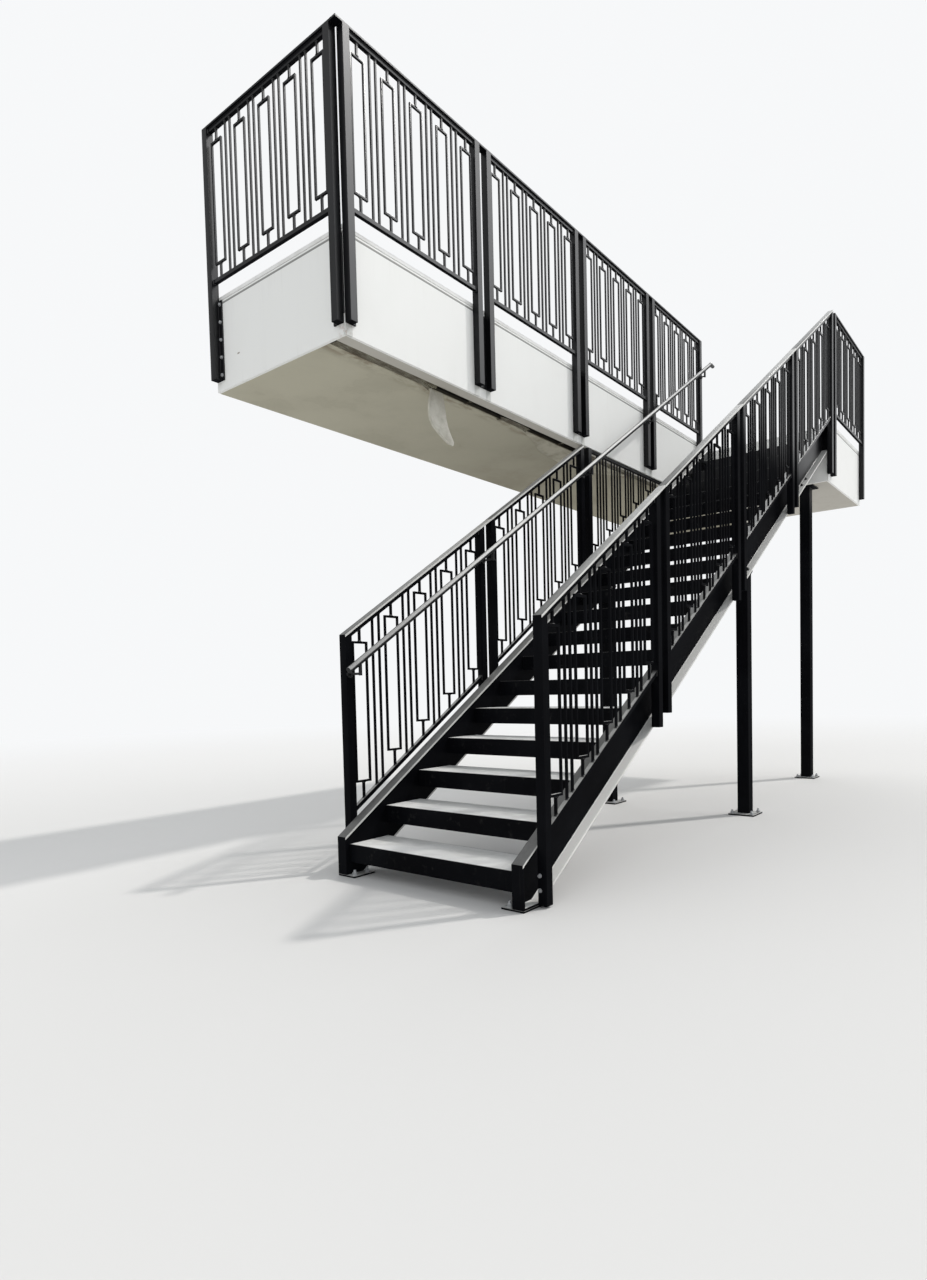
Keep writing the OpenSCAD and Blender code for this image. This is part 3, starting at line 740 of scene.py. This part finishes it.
fasten("flange_bolt_heads", heads, WELD, STRINGER_HEAD)

# Small screws in the round plates behind the handrail's brackets
SCREW = (0.0048, 0.0008, 0.0038, 0.0016, 0.0010, 0.0004)
SCREW_AT = 0.015
brackets = [(WALL_STARTS[0] + POST / 2, WALL_TIP_Y)]
brackets += [(start + WALL_PANEL - POST / 2, WALL_TIP_Y) for start in WALL_STARTS]
brackets += [(start + GALLERY_PANEL - POST / 2, GALLERY_Y - POST) for start in GALLERY_STARTS[2:]]
screws = [((x, y - ROSETTE_T, nosing(x) + HANDRAIL_H - ROD_DROP + dz), OUTWARDS)
          for x, y in brackets for dz in (-SCREW_AT, SCREW_AT)]
fasten("bracket_screws", screws, WELD, SCREW)


# How far a bead stands out at its root and at its top, and how far it runs along
BAR_BEAD = (0.0032, 0.0003, 0.0042)
RAIL_BEAD = (0.0035, 0.0003, 0.0048)


class Beads:
    """Weld beads round bars and rails, in a panel's own u (along), v (across) and w (up)."""

    def __init__(self):
        self.verts = []
        self.faces = []

    def ring(self, low, top):
        """Four faces between the corners of two squares."""
        base = len(self.verts)
        self.verts += [tuple(point) for point in low + top]
        for i in range(4):
            after = (i + 1) % 4
            self.faces.append((base + i, base + after, base + 4 + after, base + 4 + i))

    def panel(self, start, k, along, length, low):
        """Beads of one panel from its first point on the walking line, with slope k along it."""
        side = Vector((-along.y, along.x, 0))
        plumb = math.sqrt(1 + k * k)
        low_top = low + RAIL * plumb
        high_top = GUARD_H - CAP_T * plumb
        high = high_top - RAIL * plumb
        # A closed frame and the two plain bars after it take five pitches
        pitch = (length - 2 * POST) / (5 * FRAMES - 2)

        def at(u, v, w):
            return start + along * u + side * v + Vector((0, 0, w + k * u))

        def collar(u, w, way, level):
            """Round a square bar at u, from the face at height w, upwards or downwards."""
            rise = -k if level else 0.0
            root, top, run = BAR_BEAD
            rows = []
            for half, lift in ((BAR / 2 + root, 0.0), (BAR / 2 + top, run * way)):
                corners = ((-half, -half), (half, -half), (half, half), (-half, half))
                rows.append([at(u + du, dv, w + lift + rise * du) for du, dv in corners])
            self.ring(*rows)

        for i in range(FRAMES):
            u = POST + pitch * (1.5 + 5 * i)
            collar(u, low_top, 1, level=False)
            collar(u, low_top + STUB, -1, level=True)
            collar(u, high - STUB_TOP, 1, level=True)
            collar(u, high, -1, level=False)
            if i < FRAMES - 1:
                for bar in (2, 3):
                    collar(u + bar * pitch, low_top, 1, level=False)
                    collar(u + bar * pitch, high, -1, level=False)
        root, top, run = RAIL_BEAD
        for u, way in ((POST, 1), (length - POST, -1)):
            for w0, w1 in ((low, low_top), (high, high_top)):
                rows = []
                for grow, out in ((root, 0.0), (top, run * way)):
                    half = RAIL / 2 + grow
                    corners = ((-half, w0 - grow), (half, w0 - grow),
                               (half, w1 + grow), (-half, w1 + grow))
                    rows.append([at(u + out, v, w) for v, w in corners])
                self.ring(*rows)


beads = Beads()
ALONG_X, ALONG_Y = Vector((1, 0, 0)), Vector((0, 1, 0))
OPEN_MID_Y = OPEN_TIP_Y - POST / 2
level_panels = [(x, GALLERY_Y - POST / 2, ALONG_X, GALLERY_PANEL) for x in GALLERY_STARTS]
level_panels.append((LANDING_START, OPEN_MID_Y, ALONG_X, FAR_X - WALL_GAP - LANDING_START))
level_panels.append((NEAR_X - POST / 2, END_START, ALONG_Y, -WALL_GAP - END_START))
for x, y, along, length in level_panels:
    beads.panel(Vector((x, y, DECK_Z)), 0.0, along, length, RAIL_LIFT)
raked_panels = [(x, OPEN_MID_Y, OPEN_PANEL) for x in OPEN_STARTS]
raked_panels += [(x, WALL_TIP_Y + POST / 2, WALL_PANEL) for x in WALL_STARTS]
for x, y, length in raked_panels:
    beads.panel(Vector((x, y, nosing(x))), RAKE, ALONG_X, length, RAKE_RAIL_LIFT)
add_piece("guard_welds", beads.verts, beads.faces, WELD)


def flat_plates(name, boxes, material):
    """Flat plates with slightly rounded edges, each from its low and high corner, as one piece."""
    build = bmesh.new()
    for low, high in boxes:
        low, high = Vector(low), Vector(high)
        made = bmesh.ops.create_cube(build, size=1.0)["verts"]
        bmesh.ops.scale(build, vec=high - low, verts=made)
        bmesh.ops.translate(build, vec=(low + high) / 2, verts=made)
    bmesh.ops.bevel(build, geom=build.edges[:], offset=0.0012, segments=1, affect="EDGES")
    build.verts.index_update()
    verts = [tuple(vert.co) for vert in build.verts]
    faces = [[vert.index for vert in face.verts] for face in build.faces]
    build.free()
    add_piece(name, verts, faces, material)


# Plates on the fascia in the gap of each pair of gallery posts, and behind the corner posts. The plate
# in the narrow gap between the two corner posts is painted shade: a dark sheet where that gap lies in
# shade.
PLATE_T, PLATE_TOP, PLATE_LOW = 0.010, DECK_Z + 0.008, POST_FOOT_Z + 0.0005
PLATE_AIR = 0.0002
END_STRIP_W, FRONT_STRIP_W, CORNER_LIFT = 0.030, 0.023, 0.050


def front_plate(x0, x1):
    """Two corners of a plate on the gallery's outer face."""
    return (x0, GALLERY_Y - PLATE_T, PLATE_LOW), (x1, GALLERY_Y, PLATE_TOP)


def end_plate(y0, y1, low=PLATE_LOW):
    """Two corners of a plate on the gallery's near end."""
    return (NEAR_X - PLATE_T, y0, low), (NEAR_X, y1, PLATE_TOP)


gaps = [start + GALLERY_PANEL for start in GALLERY_STARTS[:3]]
corner_x, corner_y = NEAR_X + POST, END_START + POST
backs = [front_plate(x + PLATE_AIR, x + POST_GAP - PLATE_AIR) for x in gaps]
# Painted shade: a dark plate fills the narrow gap between the corner posts, from a little over their
# feet up to the deck
backs.append(end_plate(GALLERY_Y + PLATE_AIR, END_START - PLATE_AIR, PLATE_LOW + CORNER_LIFT))
backs.append(end_plate(corner_y + PLATE_AIR, corner_y + END_STRIP_W))
backs.append(front_plate(corner_x + PLATE_AIR, corner_x + FRONT_STRIP_W))
flat_plates("post_back_plates_and_corner_shade", backs, FINISHES["steel_black"])


def sheet(name, rows, material, thick=0.0012):
    """A thin sheet through rows of points, with half of its thickness to each side."""
    columns = len(rows[0])
    verts = [point for row in rows for point in row]
    faces = [(r * columns + c, r * columns + c + 1, (r + 1) * columns + c + 1, (r + 1) * columns + c)
             for r in range(len(rows) - 1) for c in range(columns - 1)]
    obj = add_piece(name, verts, faces, material)
    solid = obj.modifiers.new("thickness", "SOLIDIFY")
    solid.thickness = thick
    solid.offset = 0.0
    make_plain(obj)


tear = random.Random(21)
VENT_AIR, VENT_STEP = 0.0015, 0.03
VENT_Y1, VENT_Z = SLOT_Y1 - VENT_AIR, SOFFIT_Z + 0.004
TORN_NEAR, TORN_FAR = 0.045, 0.060


def ragged(x0, x1, y0, ends, droop):
    """Rows of points for a strip of vent from x0 to x1, torn and drooping at the named ends."""
    count = max(3, int((x1 - x0) / VENT_STEP))
    rows = []
    for j in range(7):
        share = j / 6
        start = x0 + (tear.uniform(0.0, TORN_NEAR) if "near" in ends else 0.0)
        stop = x1 - (tear.uniform(0.0, TORN_FAR) if "far" in ends else 0.0)
        row = []
        for i in range(count + 1):
            t = i / count
            near = 1 - t * count / 4 if "near" in ends else 0.0
            far = 1 - (1 - t) * count / 4 if "far" in ends else 0.0
            bend = max(near, far, 0.0) ** 2
            dip = bend * (droop * (0.4 + share) + tear.uniform(0, 0.002))
            row.append((start + (stop - start) * t, y0 + (VENT_Y1 - y0) * share, VENT_Z - dip))
        rows.append(row)
    return rows


# Each strip's two ends, how far its near side is cut back, its torn ends and its droop
VENT_STRIPS = {
    "vent_strip_near": (-3.255, -2.405, 0.0, ("far",), 0.016),
    "vent_scrap_a": (-2.098, -2.020, 0.012, ("near", "far"), 0.006),
    "vent_scrap_b": (-1.720, -1.300, 0.016, ("near", "far"), 0.012),
    "vent_scrap_c": (-0.925, -0.845, 0.010, ("near", "far"), 0.006),
    "vent_strip_far": (-0.560, HEAD_X - 0.004, 0.0, ("near",), 0.010),
}
for name, (x0, x1, cut, ends, droop) in VENT_STRIPS.items():
    sheet(name, ragged(x0, x1, SLOT_Y0 + VENT_AIR + cut, ends, droop), VENT)

# Facing that hangs from the slot
SCRAP_LEN, SCRAP_T = 0.330, 0.0016
SCRAP_WAVE, SCRAP_BOW, SCRAP_SET = 0.012, 0.010, 0.004
# Share of its length on the way down, with the x of its left and of its right edge there
SCRAP_OUTLINE = [
    (0.00, -2.417, -2.303), (0.10, -2.421, -2.283), (0.22, -2.429, -2.266), (0.36, -2.435, -2.257),
    (0.50, -2.441, -2.255), (0.64, -2.441, -2.250), (0.76, -2.419, -2.238), (0.86, -2.375, -2.220),
    (0.94, -2.327, -2.205), (1.00, -2.285, -2.211)]
rows = []
for drop, left, right in SCRAP_OUTLINE:
    z = SOFFIT_Z + 0.002 - drop * SCRAP_LEN
    y = SLOT_Y1 + SCRAP_WAVE * math.sin(drop * 5.0)
    # The left edge rolls outwards, farther towards the lower end
    row = [(left + 0.004, y - 0.012 - 0.010 * drop, z)]
    for i in range(5):
        share = i / 4
        bow = SCRAP_BOW * math.sin(share * math.pi)
        row.append((left + (right - left) * share, y - SCRAP_SET + bow, z))
    # The right edge rolls back towards the wall
    row += [(right + 0.006, y + 0.010, z), (right + 0.003, y + 0.018, z)]
    rows.append(row)
sheet("hanging_scrap", rows, FACING, SCRAP_T)

# Facing that has let go beside the slot, up to a ragged free edge given in x and y; it sags
# most at that edge, where it reaches far enough from the slot
FREE_EDGE = [
    (-1.430, -1.100), (-1.310, -1.078), (-1.205, -1.052), (-1.100, -1.020), (-1.020, -0.992),
    (-0.950, -0.958), (-0.860, -0.918), (-0.760, -0.910), (-0.690, -0.896), (-0.600, -0.902),
    (-0.510, -0.884), (-0.400, -0.892), (-0.250, -0.905), (-0.100, -0.935), (0.060, -0.985),
    (0.200, -1.040), (0.330, -1.098)]
SAG, FULL_SAG_AT, SAG_LEAST, JAG = 0.016, 0.12, 0.0012, 0.006
rows = []
for j in range(6):
    share = j / 5
    row = []
    for x, free_y in FREE_EDGE:
        reach = free_y - SLOT_Y1
        hang = SAG * share ** 2 * min(1.0, reach / FULL_SAG_AT)
        sag = SAG_LEAST + hang + tear.uniform(0, 0.0008)
        jag = tear.uniform(-JAG, JAG) if j == 5 else 0.0
        row.append((x + jag, SLOT_Y1 + reach * share + jag, SOFFIT_Z - sag))
    rows.append(row)
sheet("loose_facing", rows, LOOSE)

# Camera, from the fit of the stair's sizes to the photograph
CAMERA_AT = (-6.14492, -4.49472, -2.25972)
YAW, PITCH, ROLL = (math.radians(angle) for angle in (37.9136, -2.5414, -1.3118))
LENS, SENSOR = 20.8534, 36.0
SHIFT_X, SHIFT_Y = -0.02473, 0.06226


def place_camera():
    """Stands the camera at its place, turned by yaw and pitch and rolled about its own axis."""
    data = bpy.data.cameras.new("camera")
    data.sensor_fit = "AUTO"
    data.sensor_width = SENSOR
    data.lens = LENS
    data.shift_x = SHIFT_X
    data.shift_y = SHIFT_Y
    data.clip_end = 200.0
    camera = bpy.data.objects.new("camera", data)
    bpy.context.scene.collection.objects.link(camera)
    forward = Vector((math.cos(YAW) * math.cos(PITCH), math.sin(YAW) * math.cos(PITCH), math.sin(PITCH)))
    level = Vector((math.sin(YAW), -math.cos(YAW), 0.0))
    upright = level.cross(forward)
    right = level * math.cos(ROLL) + upright * math.sin(ROLL)
    up = upright * math.cos(ROLL) - level * math.sin(ROLL)
    turn = Matrix((right, up, -forward)).transposed().to_4x4()
    camera.matrix_world = Matrix.Translation(CAMERA_AT) @ turn
    bpy.context.scene.camera = camera


place_camera()

# The colour that the camera sees behind the stair, and that the far floor turns into
SEEN = (0.93, 0.94, 0.95, 1.0)
FLOOR_HALF = 60.0
FADE_FROM, FADE_TO, FADE_MID_Y = 5.0, 17.0, -1.3


def seen_rays(tree):
    """1 for camera, glossy and transmission rays, as a socket."""
    path = tree.nodes.new("ShaderNodeLightPath")
    total = path.outputs["Is Camera Ray"]
    for ray in ("Is Glossy Ray", "Is Transmission Ray"):
        more = tree.nodes.new("ShaderNodeMath")
        more.operation = "MAXIMUM"
        tree.links.new(total, more.inputs[0])
        tree.links.new(path.outputs[ray], more.inputs[1])
        total = more.outputs[0]
    return total


def plain_floor():
    """A pale floor that turns into the background's colour well away from the stair."""
    mesh = bpy.data.meshes.new("floor")
    corners = ((-1, -1), (1, -1), (1, 1), (-1, 1))
    mesh.from_pydata([(x * FLOOR_HALF, y * FLOOR_HALF, GROUND_Z) for x, y in corners],
                     [], [(0, 1, 2, 3)])
    floor = bpy.data.objects.new("floor", mesh)
    bpy.context.scene.collection.objects.link(floor)
    f = Finish("floor", Roughness=0.9, Specular_IOR_Level=0.1)
    f.shader.inputs["Base Color"].default_value = (0.65, 0.64, 0.625, 1.0)
    across = f.y - FADE_MID_Y
    far = ((f.x * f.x + across * across) ** 0.5).step(FADE_FROM, FADE_TO)
    glow = f.add("ShaderNodeEmission", {}, {"Color": SEEN, "Strength": 1.0})
    share = far * Value(f.tree, seen_rays(f.tree))
    mix = f.add("ShaderNodeMixShader", {}, {0: share, 1: f.shader.outputs[0], 2: glow.outputs[0]})
    f.tree.links.new(mix.outputs[0], f.tree.nodes["Material Output"].inputs["Surface"])
    mesh.materials.append(f.material)


plain_floor()


def sky():
    """Soft light from all round, and the plain background that the camera sees."""
    world = bpy.data.worlds.new("world")
    bpy.context.scene.world = world
    world.use_nodes = True
    tree = world.node_tree
    tree.nodes.clear()
    out = tree.nodes.new("ShaderNodeOutputWorld")
    mix = tree.nodes.new("ShaderNodeMixShader")
    tree.links.new(seen_rays(tree), mix.inputs[0])
    light, seen = ((0.92, 0.96, 1.0, 1.0), 0.57), (SEEN, 1.0)
    for socket, (colour, strength) in ((1, light), (2, seen)):
        background = tree.nodes.new("ShaderNodeBackground")
        background.inputs["Color"].default_value = colour
        background.inputs["Strength"].default_value = strength
        tree.links.new(background.outputs[0], mix.inputs[socket])
    tree.links.new(mix.outputs[0], out.inputs["Surface"])


sky()


def sun(name, direction, strength, softness, colour):
    """A lamp that shines from that direction, with its softness as an angle in degrees."""
    lamp = bpy.data.lights.new(name, "SUN")
    lamp.energy = strength
    lamp.angle = math.radians(softness)
    lamp.color = colour
    obj = bpy.data.objects.new(name, lamp)
    obj.rotation_euler = Vector(direction).to_track_quat("Z", "Y").to_euler()
    bpy.context.scene.collection.objects.link(obj)


sun("sun", (0.537, -0.349, 0.768), 1.5, 3.0, (1.0, 0.98, 0.95))
sun("front_sky", (0.50, -0.62, 0.60), 0.70, 40.0, (0.97, 0.98, 1.0))
sun("left_sky", (-0.80, -0.15, 0.58), 0.35, 50.0, (0.96, 0.98, 1.0))
sun("bright_sky", (0.52, 0.32, 0.79), 1.0, 50.0, (0.96, 0.98, 1.0))

bpy.context.scene.view_settings.view_transform = "Standard"
